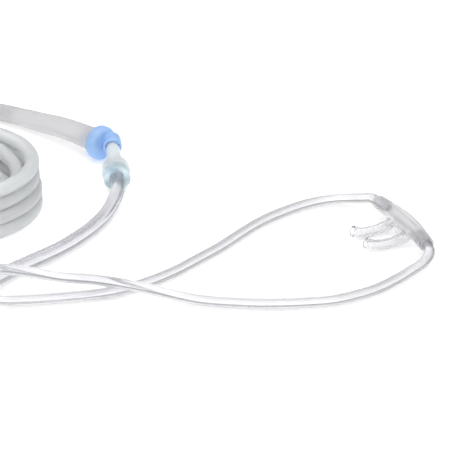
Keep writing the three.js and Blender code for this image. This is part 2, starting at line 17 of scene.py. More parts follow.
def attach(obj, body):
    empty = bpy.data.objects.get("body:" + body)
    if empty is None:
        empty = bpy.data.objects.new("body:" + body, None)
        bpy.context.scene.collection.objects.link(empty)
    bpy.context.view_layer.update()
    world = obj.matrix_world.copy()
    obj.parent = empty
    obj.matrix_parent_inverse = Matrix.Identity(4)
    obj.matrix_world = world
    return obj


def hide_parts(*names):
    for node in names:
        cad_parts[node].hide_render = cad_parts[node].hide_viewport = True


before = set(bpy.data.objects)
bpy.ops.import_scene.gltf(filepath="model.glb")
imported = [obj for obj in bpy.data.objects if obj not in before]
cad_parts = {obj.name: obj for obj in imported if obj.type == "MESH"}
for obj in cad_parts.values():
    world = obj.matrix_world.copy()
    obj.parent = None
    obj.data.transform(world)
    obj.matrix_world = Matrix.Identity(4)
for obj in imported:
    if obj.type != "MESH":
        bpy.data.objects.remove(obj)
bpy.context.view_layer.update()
MM = 0.001

# %% [markdown]
# ## Camera
# The photograph was taken from in front of the table with a long lens, about 27 degrees down: the round face
# of the swivel and the coil's opening give that angle. A long lens keeps the tubes at nearly the same width
# near and far, so the camera stands about a metre away with a narrow field of view.

# %% Camera
CAMERA_DOWN = math.radians(27)
CAMERA_DISTANCE = 1.0
CAMERA_LENS = 208.0
looked_at = Vector((-0.06273, 0.01008, 0.0))
camera_place = looked_at + CAMERA_DISTANCE * Vector((0, -math.cos(CAMERA_DOWN), math.sin(CAMERA_DOWN)))
bpy.ops.object.camera_add(location=camera_place, rotation=(math.pi / 2 - CAMERA_DOWN, 0, 0))
camera = bpy.context.object
camera.data.lens = CAMERA_LENS
camera.data.sensor_width = 36
bpy.context.scene.camera = camera
print("camera at", tuple(round(v, 3) for v in camera_place))

# %% [markdown]
# ## Routes of the tubes
# Each tube follows one smooth line through the points of its route, in millimetres. A centripetal curve goes
# through every point without loops or overshoot, and the points of the finished line are then spaced evenly,
# so that the rings of the tube are all the same distance apart.

# %% Smooth lines
POINTS_BETWEEN_KNOTS = 12


def smooth_line(points, step):
    """Evenly spaced points, in metres, on a centripetal curve through the given millimetre points."""
    knots = [Vector(point) * MM for point in points]
    knots = [2 * knots[0] - knots[1]] + knots + [2 * knots[-1] - knots[-2]]
    line = [knots[1]]
    for a, b, c, d in zip(knots, knots[1:], knots[2:], knots[3:]):
        at_b = math.sqrt((b - a).length)
        at_c = at_b + math.sqrt((c - b).length)
        at_d = at_c + math.sqrt((d - c).length)
        for number in range(1, POINTS_BETWEEN_KNOTS + 1):
            at = at_b + (at_c - at_b) * number / POINTS_BETWEEN_KNOTS
            ab = a + (b - a) * (at / at_b)
            bc = b + (c - b) * ((at - at_b) / (at_c - at_b))
            cd = c + (d - c) * ((at - at_c) / (at_d - at_c))
            abc = ab + (bc - ab) * (at / at_c)
            bcd = bc + (cd - bc) * ((at - at_b) / (at_d - at_b))
            line.append(abc + (bcd - abc) * ((at - at_b) / (at_c - at_b)))
    return evenly_spaced(line, step * MM)


def line_length(line):
    """The length along a line of points."""
    return sum((b - a).length for a, b in zip(line, line[1:]))


def evenly_spaced(line, step):
    """The same line with its points a step apart."""
    passed = [0.0]
    for a, b in zip(line, line[1:]):
        passed.append(passed[-1] + (b - a).length)
    count = max(round(passed[-1] / step), 2)
    spaced = []
    piece = 0
    for number in range(count + 1):
        wanted = passed[-1] * number / count
        while piece < len(line) - 2 and passed[piece + 1] < wanted:
            piece += 1
        share = (wanted - passed[piece]) / (passed[piece + 1] - passed[piece])
        spaced.append(line[piece] + (line[piece + 1] - line[piece]) * share)
    return spaced


# %% Routes of the two lariat tubes, from the nosepiece to the junction
near_points = [
    (10.45, -10.59, 6), (11.75, -14.56, 6), (12.93, -18.58, 6), (13.64, -21.74, 5), (12.34, -25.54, 4.1),
    (10.14, -28.54, 3.4), (7.44, -31.14, 2.9), (1.24, -37.24, 2.2), (-6.86, -45.04, 2.05),
    (-13.66, -49.54, 2.05), (-22.86, -53.84, 2.05), (-35.56, -55.94, 2.05), (-46.46, -56.54, 2.05),
    (-57.26, -56.14, 2.1), (-71.76, -54.24, 2.3), (-82.66, -52.44, 3.8), (-91.76, -51.34, 5.6),
    (-100.86, -49.44, 6.5), (-110.16, -45.74, 6), (-123.16, -41.64, 5), (-134.06, -41.64, 7),
    (-144.96, -41.44, 8.3), (-151.76, -41.24, 8.5), (-159.76, -40.84, 7.6), (-171.76, -39.94, 4.4),
    (-183.76, -38.94, 2.6), (-195.76, -37.94, 2.15), (-208.76, -36.84, 2.1), (-233.76, -35.34, 2.05),
    (-254.76, -38.84, 2.05), (-267.26, -48.34, 2.05), (-270.26, -60.34, 2.3), (-264.76, -72.34, 3.2),
    (-253.26, -77.84, 3.8), (-249.96, -77.84, 3.8), (-241.76, -77.84, 3.8), (-229.76, -77.84, 3.8),
    (-216.26, -77.84, 3.8), (-209.56, -77.84, 3.8),
]
far_points = [
    (0.45, 11.45, 6), (-1.68, 15.04, 6), (-3.92, 18.58, 6), (-5.96, 22.66, 5.3), (-8.76, 24.06, 4.7),
    (-13.26, 26.06, 3.6), (-19.46, 27.46, 2.6), (-25.66, 26.56, 2.1), (-33.56, 22.46, 2),
    (-45.36, 12.66, 2), (-53.16, 3.76, 2), (-64.66, -12.24, 2), (-72.06, -21.04, 2), (-81.26, -31.54, 2),
    (-90.26, -39.54, 2), (-99.26, -45.34, 2), (-108.26, -48.94, 2), (-122.66, -52.04, 2),
    (-133.46, -53.94, 2.2), (-144.26, -56.94, 3.6), (-153.76, -57.74, 6.6), (-162.26, -57.34, 8.4),
    (-171.76, -55.74, 7.2), (-183.76, -52.54, 3.6), (-196.76, -50.54, 2.1), (-215.76, -47.34, 2),
    (-237.76, -43.84, 2), (-249.76, -44.74, 2), (-260.26, -50.94, 2), (-262.76, -60.34, 2.4),
    (-259.26, -68.34, 3.2), (-251.26, -71.84, 3.8), (-249.96, -71.84, 3.8), (-240.76, -71.84, 3.8),
    (-229.76, -71.84, 3.8), (-216.26, -71.84, 3.8), (-209.56, -71.84, 3.8),
]
LARIAT_STEP = 1.6
near_line = smooth_line(near_points, LARIAT_STEP)
far_line = smooth_line(far_points, LARIAT_STEP)
print("lariat tubes:", round(line_length(near_line), 4), round(line_length(far_line), 4), "m")

# %% Route of the tail tube, from the junction to the connector
tail_points = [
    (-201.46, -74.84, 3.8), (-193.76, -74.84, 3.8), (-186.76, -74.84, 3.8), (-178.26, -71.94, 3),
    (-170.76, -65.34, 2.8), (-163.76, -57.14, 2.8), (-156.76, -49.34, 2.8), (-150.76, -42.74, 2.8),
    (-145.46, -36.94, 2.8), (-140.46, -31.24, 2.8), (-135.26, -25.94, 2.8), (-129.96, -20.64, 2.8),
    (-124.86, -15.14, 2.8), (-119.76, -8.14, 2.8), (-114.96, -0.54, 2.8), (-112.26, 4.86, 2.8),
    (-109.36, 11.66, 2.9), (-107.36, 17.66, 3.4), (-105.86, 23.66, 4), (-104.86, 28.66, 4.6),
    (-104.71, 34.81, 5.41), (-105.14, 38.78, 5.64), (-105.67, 43.65, 5.91),
]
TAIL_STEP = 1.8
tail_line = smooth_line(tail_points, TAIL_STEP)
print("tail tube:", round(line_length(tail_line), 4), "m")

# %% [markdown]
# ## The coil
# The extension tube is wound as it comes out of its bag: round and round in flat layers, each layer on top
# of the last. A turn keeps its distance from the middle for four fifths of the way round, then moves over by
# the width of the tube. Between layers it climbs by one tube. These moves are at the back and the left of
# the coil, and the turns are a little uneven, as a hand leaves them.

# %% Route of the coiled extension tube
COIL_MIDDLE = Vector((-169.36, 23.86, 0))
LANES = [31.8, 26.0, 20.2, 20.2, 26.0, 31.8, 31.8, 26.0, 31.8]
HEIGHTS = [2.8, 2.8, 2.8, 8.4, 8.4, 8.4, 14.0, 14.0, 19.6]
CLIMBS = {2: (0.8, 1.0), 5: (0.8, 1.0), 7: (0.5, 0.8)}
SIDESTEPS = {2: -2.9, 5: 2.9}
TURNS = 8.75
POINTS_PER_TURN = 24
OVAL_SWAY = 0.35
THREE_SIDED_SWAY = 0.2
LOWER_LAYERS_ASIDE = Vector((0.8, 0, 0))
EXTENSION_STEP = 2.4


def eased(value, start, end):
    """0 before start, 1 after end, and a soft S between them."""
    share = min(max((value - start) / (end - start), 0), 1)
    return share * share * (3 - 2 * share)


def coil_point(turns):
    """The middle of the tube after so many turns, counted from the left of the coil."""
    turn = min(int(turns), len(LANES) - 1)
    part = turns - turn
    following = min(turn + 1, len(LANES) - 1)
    angle = math.pi + turns * math.tau
    radius = LANES[turn] + (LANES[following] - LANES[turn]) * eased(part, 0.8, 1.0)
    height = HEIGHTS[turn]
    if turn in CLIMBS:
        start, end = CLIMBS[turn]
        height += (HEIGHTS[following] - height) * eased(part, start, end)
        if turn in SIDESTEPS and start < part < end:
            radius += SIDESTEPS[turn] * math.sin(math.pi * (part - start) / (end - start))
    uneven = OVAL_SWAY * math.sin(2 * angle + 0.6) + THREE_SIDED_SWAY * math.sin(3 * angle + 2.0)
    radius += uneven * eased(turns, 0.05, 0.3) * (1 - eased(turns, 8.45, 8.7))
    lower_layers = LOWER_LAYERS_ASIDE * eased(turns, 0.1, 0.4) * (1 - eased(turns, 5.8, 6.1))
    return COIL_MIDDLE + lower_layers + Vector((radius * math.cos(angle), radius * math.sin(angle), height))


lead_points = [
    (-151.17, 103.2, 4), (-154.67, 105.51, 3.86), (-158.55, 107.78, 3.74), (-176.76, 115.26, 2.9),
    (-188.76, 114.86, 2.8), (-198.76, 109.26, 2.8), (-204.36, 98.66, 2.8), (-205.56, 85.66, 2.8),
    (-204.16, 70.66, 2.8), (-202.36, 58.66, 2.8), (-201.36, 50.38, 2.8), (-201.16, 43.38, 2.8),
]
coil_points = [coil_point(number / POINTS_PER_TURN) for number in range(int(TURNS * POINTS_PER_TURN) + 1)]
end_points = [
    (-188.88, 55.66, 19.6), (-195.88, 55.86, 18), (-204.76, 56.46, 14), (-214.76, 57.06, 9),
    (-225.76, 55.66, 5.4), (-236.76, 51.46, 3.6), (-245.76, 44.16, 3.8), (-250.76, 35.66, 4.7),
    (-252.76, 28.66, 5.2), (-252.76, 21.66, 5.2), (-252.76, 13.96, 5.2),
]
extension_line = smooth_line(lead_points + coil_points + end_points, EXTENSION_STEP)
print("extension tube:", round(line_length(extension_line), 4), "m")

# %% [markdown]
# ## Small helpers
# Every operator of Blender acts on what is selected, so each step starts by selecting just one piece.

# %% Helpers
def select_only(*pieces):
    bpy.ops.object.select_all(action="DESELECT")
    for piece in pieces:
        piece.select_set(True)
    bpy.context.view_layer.objects.active = pieces[0]


def apply_all(piece):
    """Applies every modifier of a piece, from the top."""
    select_only(piece)
    for modifier in list(piece.modifiers):
        bpy.ops.object.modifier_apply(modifier=modifier.name)


def smooth_faces(piece, angle):
    select_only(piece)
    bpy.ops.object.shade_smooth_by_angle(angle=math.radians(angle))


def tell(piece):
    sides = [round(value * 1000, 1) for value in piece.dimensions]
    print(piece.name, len(piece.data.polygons), "faces,", sides, "mm")


# %% [markdown]
# ## Hollow tubes
# Soft tube is pushed through a die, so its wall is the same all along it. In Blender a section that is swept
# along a curve does the same: one skin for the outside, one for the bore, and a bridge between their ends.
# A solid rod would look wrong in clear plastic, because the light bends at the bore as well.

# %% A skin swept along a line
def round_section(angle):
    """A plain circle, the same at every angle."""
    return 1.0


def sweep_skin(name, line, radii, section, sides):
    """An open skin round a line: its radius at each point is one of radii, times the section's shape."""
    outline = bpy.data.curves.new(name + " section", "CURVE")
    outline.dimensions = "2D"
    outline.fill_mode = "NONE"
    loop = outline.splines.new("POLY")
    loop.points.add(sides - 1)
    for number, point in enumerate(loop.points):
        angle = math.tau * number / sides
        reach = section(angle)
        point.co = (reach * math.cos(angle), reach * math.sin(angle), 0, 1)
    loop.use_cyclic_u = True
    outline_object = bpy.data.objects.new(name + " section", outline)
    bpy.context.scene.collection.objects.link(outline_object)
    curve = bpy.data.curves.new(name, "CURVE")
    curve.dimensions = "3D"
    curve.twist_mode = "MINIMUM"
    spline = curve.splines.new("POLY")
    spline.points.add(len(line) - 1)
    for point, place, radius in zip(spline.points, line, radii):
        point.co = (*place, 1)
        point.radius = radius
    curve.bevel_mode = "OBJECT"
    curve.bevel_object = outline_object
    skin = bpy.data.objects.new(name, curve)
    bpy.context.scene.collection.objects.link(skin)
    select_only(skin)
    bpy.ops.object.convert(target="MESH")
    bpy.data.objects.remove(outline_object)
    return bpy.context.object


# %% A tube with a wall
def bridge_end(tube, place, reach):
    """Closes the ring between the outer and the inner skin at one end of a tube."""
    select_only(tube)
    bpy.ops.object.mode_set(mode="EDIT")
    bpy.ops.mesh.select_mode(type="EDGE")
    bpy.ops.mesh.select_all(action="DESELECT")
    mesh = bmesh.from_edit_mesh(tube.data)
    for edge in mesh.edges:
        near_end = all((corner.co - place).length < reach for corner in edge.verts)
        edge.select_set(edge.is_boundary and near_end)
    bmesh.update_edit_mesh(tube.data)
    bpy.ops.mesh.bridge_edge_loops()
    bpy.ops.object.mode_set(mode="OBJECT")


def hollow_tube(name, line, outer, bore, bore_section=round_section, sides=32):
    """A tube with a wall. outer and bore are radii in millimetres, one number or one for each point."""
    outer_radii = outer if isinstance(outer, list) else [outer] * len(line)
    bore_radii = bore if isinstance(bore, list) else [bore] * len(line)
    outside = sweep_skin(name, line, [radius * MM for radius in outer_radii], round_section, sides)
    inside = sweep_skin(name + "_bore", line, [radius * MM for radius in bore_radii], bore_section, sides)
    select_only(outside, inside)
    bpy.ops.object.join()
    tube = bpy.context.object
    tube.name = name
    tube.data.materials.clear()
    bridge_end(tube, line[0], outer_radii[0] * 1.3 * MM)
    bridge_end(tube, line[-1], outer_radii[-1] * 1.3 * MM)
    bpy.ops.object.mode_set(mode="EDIT")
    bpy.ops.mesh.select_all(action="SELECT")
    bpy.ops.mesh.normals_make_consistent(inside=False)
    bpy.ops.object.mode_set(mode="OBJECT")
    smooth_faces(tube, 50)
    tell(tube)
    return tube


# %% [markdown]
# The lariat tubes have a plain round bore. The supply tube's bore has five shallow grooves with soft ribs
# between them, so that a way for the gas stays open when somebody stands on the tube. The ribs draw the dark
# lines along the tail tube.

# %% The free tubes
LARIAT_OUTER = 4.0
LARIAT_BORE = 2.3
SUPPLY_OUTER = 5.6
SUPPLY_BORE = 3.5
STAR_POINTS = 5
STAR_DEPTH = 0.09


def star_section(angle):
    """The supply tube's bore: round grooves with soft ribs between them."""
    return 1 + STAR_DEPTH * math.sin(angle * STAR_POINTS)


near_tube = hollow_tube("lariat_tube_near", near_line, LARIAT_OUTER / 2, LARIAT_BORE / 2)
far_tube = hollow_tube("lariat_tube_far", far_line, LARIAT_OUTER / 2, LARIAT_BORE / 2)
tail_tube = hollow_tube("tail_supply_tube", tail_line, SUPPLY_OUTER / 2, SUPPLY_BORE / 2, star_section, 40)
extension_tube = hollow_tube(
    "extension_supply_tube", extension_line, SUPPLY_OUTER / 2, SUPPLY_BORE / 2, star_section, 40
)

# %% [markdown]
# ## The flared sleeve
# The sleeve is soft and cloudy. It stretches over the swivel's spigot at its wide mouth, narrows evenly and
# grips the extension tube at its other end. It is swept like a tube, but its radius changes along the way.

# %% Flared sleeve
sleeve_points = [
    (-115.028, 71.44, 7.1), (-120.124, 76.239, 7.109), (-125.152, 81.103, 6.893), (-130.215, 85.912, 6.414),
    (-135.378, 90.564, 5.583), (-140.643, 95.123, 4.883), (-146.081, 99.497, 4.334),
    (-151.744, 103.592, 3.971), (-158.55, 107.783, 3.736),
]
SLEEVE_MOUTH = 9.7 / 2
SLEEVE_TAIL = 6.9 / 2
SPIGOT_SEAT = 3.5
TUBE_SEAT = 3.1
SLEEVE_WALL = 1.1
MOUTH_LIP = 0.35
TAIL_LIP = 0.3
SLEEVE_STEP = 0.6
sleeve_line = smooth_line(sleeve_points, SLEEVE_STEP)
last = len(sleeve_line) - 1
sleeve_outer = []
sleeve_bore = []
for number in range(last + 1):
    share = number / last
    outer_here = SLEEVE_MOUTH + (SLEEVE_TAIL - SLEEVE_MOUTH) * share
    rolled_lip = MOUTH_LIP * (1 - eased(share, 0.0, 0.015)) + TAIL_LIP * eased(share, 0.99, 1.0)
    into_seat = eased(share, 0.12, 0.14)
    out_of_seat = eased(share, 0.838, 0.846)
    narrowing = min(outer_here - SLEEVE_WALL, SPIGOT_SEAT)
    bore_here = SPIGOT_SEAT + (narrowing - SPIGOT_SEAT) * into_seat
    sleeve_outer.append(outer_here - rolled_lip)
    sleeve_bore.append(bore_here + (TUBE_SEAT - bore_here) * out_of_seat)
sleeve = hollow_tube("flared_sleeve", sleeve_line, sleeve_outer, sleeve_bore, sides=40)

# %% [markdown]
# ## Turned pieces
# The connector, the nozzle and the end socket are round about a straight axis. Their wall is drawn once, as a
# closed chain of points, and spun round the axis, as a lathe or the mould's core does it.

# %% Spin a profile
SPIN_STEPS = 56
SEAM_WITHIN = 0.000002


def spin_piece(name, profile, start, along):
    """Spins a closed profile of (place on the axis, radius) in mm, and sets it at start, pointing along."""
    mesh = bpy.data.meshes.new(name)
    points = [(place * MM, 0, radius * MM) for place, radius in profile]
    edges = [(number, (number + 1) % len(points)) for number in range(len(points))]
    mesh.from_pydata(points, edges, [])
    piece = bpy.data.objects.new(name, mesh)
    bpy.context.scene.collection.objects.link(piece)
    select_only(piece)
    bpy.ops.object.mode_set(mode="EDIT")
    bpy.ops.mesh.select_all(action="SELECT")
    bpy.ops.mesh.spin(steps=SPIN_STEPS, angle=math.tau, center=(0, 0, 0), axis=(1, 0, 0))
    bpy.ops.mesh.select_all(action="SELECT")
    bpy.ops.mesh.remove_doubles(threshold=SEAM_WITHIN)
    bpy.ops.mesh.normals_make_consistent(inside=False)
    bpy.ops.object.mode_set(mode="OBJECT")
    turn = Vector((1, 0, 0)).rotation_difference(Vector(along).normalized())
    piece.matrix_world = Matrix.Translation(Vector(start) * MM) @ turn.to_matrix().to_4x4()
    select_only(piece)
    bpy.ops.object.transform_apply(location=True, rotation=True, scale=True)
    smooth_faces(piece, 40)
    tell(piece)
    return piece


def rounded(profile, radius):
    """The same closed profile with its corners cut back into three short steps."""
    corners = []
    count = len(profile)
    for number in range(count):
        before = Vector(profile[number - 1])
        here = Vector(profile[number])
        after = Vector(profile[(number + 1) % count])
        back = min(radius, 0.4 * (before - here).length)
        on = min(radius, 0.4 * (after - here).length)
        first = here + (before - here).normalized() * back
        third = here + (after - here).normalized() * on
        corners.append(first)
        corners.append((first + 2 * here + third) / 4)
        corners.append(third)
    return [tuple(corner) for corner in corners]


# %% [markdown]
# The nozzle turns in the swivel's collar and carries the connector. Between the two it swells a little. The
# connector has a raised ring near its middle, a cone towards the nozzle and a deep seat for the tail tube.

# %% Nozzle and connector
NOZZLE_START = (-107.968, 64.788, 7.100)
NOZZLE_AXIS = (0.10783, -0.99260, -0.05582)
NOZZLE_SHOWN = 15.6
NOZZLE_RADIUS = 2.4
NOZZLE_SWELL = 2.85
NOZZLE_BORE = 1.5
nozzle_profile = [
    (-3.4, 2.1), (-2.9, NOZZLE_RADIUS), (0.3, NOZZLE_RADIUS), (1.8, NOZZLE_SWELL),
    (NOZZLE_SHOWN - 1.8, NOZZLE_SWELL), (NOZZLE_SHOWN - 0.3, NOZZLE_RADIUS),
    (NOZZLE_SHOWN + 3.1, NOZZLE_RADIUS), (NOZZLE_SHOWN + 3.6, 2.1),
    (NOZZLE_SHOWN + 3.6, NOZZLE_BORE), (-3.4, NOZZLE_BORE),
]
nozzle = spin_piece("nozzle_spigot", rounded(nozzle_profile, 0.25), NOZZLE_START, NOZZLE_AXIS)
connector_start = Vector(NOZZLE_START) + NOZZLE_SHOWN * Vector(NOZZLE_AXIS).normalized()
connector_profile = [
    (0, 3.7), (0.9, 4.8), (1.8, 5.5), (4.45, 5.5), (4.65, 5.75), (5.55, 5.75), (5.75, 5.5), (9.8, 5.5),
    (10.6, 5.0), (10.6, 3.1), (5.4, 3.1), (5.38, 1.5), (3.92, 1.5), (3.9, 2.7), (0, 2.7),
]
connector = spin_piece(
    "tail_barrel_connector", rounded(connector_profile, 0.3), connector_start, NOZZLE_AXIS
)

# %% [markdown]
# The socket at the extension's far end goes over an outlet's barb: a waist on the tube, a cone, and a wide
# mouth with a lip. It isn't in the photograph, and has the usual form and size.

# %% End socket
SOCKET_START = (-252.76, 21.66, 5.2)
socket_profile = [
    (0, 3.4), (0.5, 3.8), (9.1, 3.8), (13.0, 4.6), (24.4, 4.9), (24.6, 5.1), (26.0, 5.1), (26.0, 3.5),
    (12.0, 3.1), (11.5, 1.5), (8.01, 1.5), (8.0, 3.1), (0, 3.1),
]
end_socket = spin_piece("end_socket", rounded(socket_profile, 0.3), SOCKET_START, (0, -1, 0))

# %% [markdown]
# ## The nosepiece
# The nosepiece is one soft moulding: a bowed oval body, two hollow prongs with a bead at the tip, and a thin
# web between their roots. Its forms run into each other in soft hollows, which is hard to get from one
# primitive. So each form is swept or filled on its own, all are joined, and a voxel remesh melts them into
# one skin. The ways for the gas are cut afterwards, so that their walls stay crisp and smooth.

# %% Nosepiece sizes and its own directions
NOSE_MIDDLE = Vector((5.96, 0.66, 6.0))
NOSE_ALONG = Vector((0.4131, -0.9107, 0))
PRONG_DIRECTION = Vector((-0.9107, -0.4131, 0))
NOSE_HALF = 20.4
NOSE_FLATNESS = 0.86
PRONG_RADIUS = 2.05
PRONG_BORE = 1.45
PRONG_REACH = 20.0
PRONG_REST = PRONG_RADIUS - NOSE_MIDDLE.z
PRONG_ROOT_ASIDE = 6.2
PRONG_CLOSING = 0.85
PRONG_TIP_ASIDE = 5.35
PRONG_TIP_HEIGHT = 3.9
PRONG_BEAD = 0.3
PRONG_TIP_RIM = 0.12
MOUTH_RADIUS = 2.95
MIDDLE_SWELL = 0.85
MOUTH_RIM = 0.35
FINE_STEP = 0.3
body_axis = [
    (-4.259, 19.084, 6), (-0.51, 13.098, 6), (2.897, 6.957, 6), (5.96, 0.66, 6), (8.68, -5.793, 6),
    (11.057, -12.401, 6), (13.091, -19.165, 6),
]


def on_nose(along, out, up):
    """A point in millimetres: along the body, out towards the prongs' tips, and up from the body's axis."""
    return NOSE_MIDDLE + along * NOSE_ALONG + out * PRONG_DIRECTION + Vector((0, 0, up))


def prong_points(side, beyond=0.0):
    """The line of one prong: down from the body, level near the table and up again at the tip."""
    drops = [(0, 0), (0.19, 0.72), (0.4, 0.95), (0.6, 1), (0.8, 0.9)]
    points = []
    for share, drop in drops:
        aside = side * (PRONG_ROOT_ASIDE - PRONG_CLOSING * share**2)
        points.append(on_nose(aside, PRONG_REACH * share, PRONG_REST * drop))
    tip = on_nose(side * PRONG_TIP_ASIDE, PRONG_REACH, PRONG_TIP_HEIGHT - NOSE_MIDDLE.z)
    points.append(tip)
    if beyond:
        points.append(tip + (tip - points[-2]).normalized() * beyond)
    return points


# %% A swept form with closed ends
def solid_sweep(name, line, radii, sides=72):
    """A solid of changing radius along a line, with flat closed ends."""
    form = sweep_skin(name, line, [radius * MM for radius in radii], round_section, sides)
    form.data.materials.clear()
    select_only(form)
    bpy.ops.object.mode_set(mode="EDIT")
    bpy.ops.mesh.select_mode(type="EDGE")
    bpy.ops.mesh.select_all(action="DESELECT")
    bpy.ops.mesh.select_non_manifold(extend=False)
    bpy.ops.mesh.edge_face_add()
    bpy.ops.mesh.select_all(action="SELECT")
    bpy.ops.mesh.normals_make_consistent(inside=False)
    bpy.ops.object.mode_set(mode="OBJECT")
    return form


# %% Body of the nosepiece
whole_axis = smooth_line(body_axis, FINE_STEP)
axis_middle = line_length(whole_axis) / 2


def part_of_axis(half):
    """The body's axis from its middle to half this length each way."""
    kept = []
    passed = 0.0
    for before, here in zip(whole_axis, whole_axis[1:]):
        passed += (here - before).length
        if abs(passed - axis_middle) <= half * MM:
            kept.append(here)
    return kept


def body_radius(share):
    """The body's radius: 3.8 mm in the middle, 2.95 mm at the mouths, where its rim is rounded."""
    swell = math.cos(share * math.pi / 2) ** 2
    rim = MOUTH_RIM * eased(abs(share), 0.965, 1.0)
    return MOUTH_RADIUS + MIDDLE_SWELL * swell - rim


body_line = part_of_axis(NOSE_HALF)
shares = [2 * number / (len(body_line) - 1) - 1 for number in range(len(body_line))]
body_form = solid_sweep("nosepiece_moulding", body_line, [body_radius(share) for share in shares])
for corner in body_form.data.vertices:
    along = (corner.co / MM - NOSE_MIDDLE).dot(NOSE_ALONG) / NOSE_HALF
    flat = 1 - (1 - NOSE_FLATNESS) * max(math.cos(along * math.pi / 2), 0)
    corner.co.z = (NOSE_MIDDLE.z + (corner.co.z / MM - NOSE_MIDDLE.z) * flat) * MM

# %% Prongs with their beads
forms = [body_form]
for side in (-1, 1):
    line = smooth_line(prong_points(side), FINE_STEP)
    count = len(line) - 1
    radii = []
    for number in range(count + 1):
        to_tip = (count - number) * FINE_STEP
        bead = PRONG_BEAD * eased(to_tip, 0.0, 0.5) * (1 - eased(to_tip, 1.0, 1.7))
        radii.append(PRONG_RADIUS + bead - PRONG_TIP_RIM * (1 - eased(to_tip, 0.0, 0.4)))
    forms.append(solid_sweep("prong", line, radii))

# %% Web between the prong roots
WEB_REACH = 7.6
WEB_DIP = 2.4
WEB_FALL = 0.34
WEB_THICKNESS = 1.3
WEB_STEPS = 16
outline = [(-PRONG_ROOT_ASIDE, 0.0), (-PRONG_ROOT_ASIDE, WEB_REACH)]
for number in range(1, WEB_STEPS):
    share = number / WEB_STEPS
    across = -PRONG_ROOT_ASIDE + 2 * PRONG_ROOT_ASIDE * share
    outline.append((across, WEB_REACH - 4 * WEB_DIP * share * (1 - share)))
outline += [(PRONG_ROOT_ASIDE, WEB_REACH), (PRONG_ROOT_ASIDE, 0.0)]
corners = [on_nose(along, out, -WEB_FALL * out) * MM for along, out in outline]
web_mesh = bpy.data.meshes.new("web")
web_mesh.from_pydata(corners, [], [list(range(len(corners)))])
web_form = bpy.data.objects.new("web", web_mesh)
bpy.context.scene.collection.objects.link(web_form)
plate = web_form.modifiers.new("thickness", "SOLIDIFY")
plate.thickness = WEB_THICKNESS * MM
plate.offset = 0
apply_all(web_form)
forms.append(web_form)

# %% Melt the forms into one skin
NOSE_VOXEL = 0.17
NOSE_MELTING = 30
select_only(*forms)
bpy.ops.object.join()
nosepiece = bpy.context.object
nosepiece.name = "nosepiece_moulding"
remesh = nosepiece.modifiers.new("one skin", "REMESH")
remesh.mode = "VOXEL"
remesh.voxel_size = NOSE_VOXEL * MM
soften = nosepiece.modifiers.new("soft hollows", "SMOOTH")
soften.factor = 0.5
soften.iterations = NOSE_MELTING
apply_all(nosepiece)
tell(nosepiece)

# %% [markdown]
# The gas comes in at both sockets and leaves through the prongs. Each way is a swept form that is taken away
# with a Boolean modifier. The sockets are wider than the gallery between them, as they hold the tubes.

# %% Cut the sockets, the gallery and the prongs' bores
SOCKET_RADIUS = 2.3
GALLERY_RADIUS = 1.5
SOCKET_INNER_END = 11.8
MOUTH_FLARE = 0.3
GALLERY_OVERRUN = 0.9
BORE_OVERRUN = 1.5
BORE_STEP = 0.4


def cut(piece, tool):
    """Takes the tool's shape out of the piece."""
    away = piece.modifiers.new("cut", "BOOLEAN")
    away.operation = "DIFFERENCE"
    away.solver = "EXACT"
    away.object = tool
    apply_all(piece)
    bpy.data.objects.remove(tool)


gallery_line = part_of_axis(NOSE_HALF + GALLERY_OVERRUN)
gallery_half = line_length(gallery_line) / 2 / MM
gallery_radii = []
for number in range(len(gallery_line)):
    from_middle = abs(2 * number / (len(gallery_line) - 1) - 1) * gallery_half
    in_socket = eased(from_middle, SOCKET_INNER_END - 0.2, SOCKET_INNER_END + 0.2)
    at_mouth = eased(from_middle, NOSE_HALF - 0.5, NOSE_HALF)
    widening = (SOCKET_RADIUS - GALLERY_RADIUS) * in_socket
    gallery_radii.append(GALLERY_RADIUS + widening + MOUTH_FLARE * at_mouth)
cut(nosepiece, solid_sweep("gallery", gallery_line, gallery_radii))
for side in (-1, 1):
    bore_line = smooth_line(prong_points(side, BORE_OVERRUN), BORE_STEP)
    cut(nosepiece, solid_sweep("prong bore", bore_line, [PRONG_BORE] * len(bore_line)))
smooth_faces(nosepiece, 40)
tell(nosepiece)

# %% [markdown]
# ## Soft mouldings
# The swivel, the junction and the slide also come out of moulds, so nothing on them has a sharp edge. Their
# plain solids have the right shape already. A copy of each is merged, rebuilt from small even faces by a
# voxel remesh, and its edges are then melted a little by smoothing.

# %% Moulded copies
MERGE_WITHIN = 0.00001


def moulded_copy(node, name, voxel, melting):
    """A copy of a CAD node with even faces and softly rounded edges."""
    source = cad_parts[node]
    select_only(source)
    bpy.ops.object.duplicate()
    piece = bpy.context.object
    piece.name = name
    piece.parent = None
    piece.matrix_world = source.matrix_world
    piece.hide_render = False
    select_only(piece)
    bpy.ops.object.transform_apply(location=True, rotation=True, scale=True)
    bpy.ops.object.mode_set(mode="EDIT")
    bpy.ops.mesh.select_all(action="SELECT")
    bpy.ops.mesh.remove_doubles(threshold=MERGE_WITHIN)
    bpy.ops.object.mode_set(mode="OBJECT")
    remesh = piece.modifiers.new("even faces", "REMESH")
    remesh.mode = "VOXEL"
    remesh.voxel_size = voxel * MM
    soften = piece.modifiers.new("melted edges", "SMOOTH")
    soften.factor = 0.5
    soften.iterations = melting
    apply_all(piece)
    piece.data.materials.clear()
    bpy.ops.object.shade_smooth()
    tell(piece)
    return piece


swivel = moulded_copy("swivel_elbow", "swivel_moulding", 0.2, 8)
junction = moulded_copy("y_junction", "junction_moulding", 0.25, 4)
slide = moulded_copy("slide", "slide_moulding", 0.25, 4)

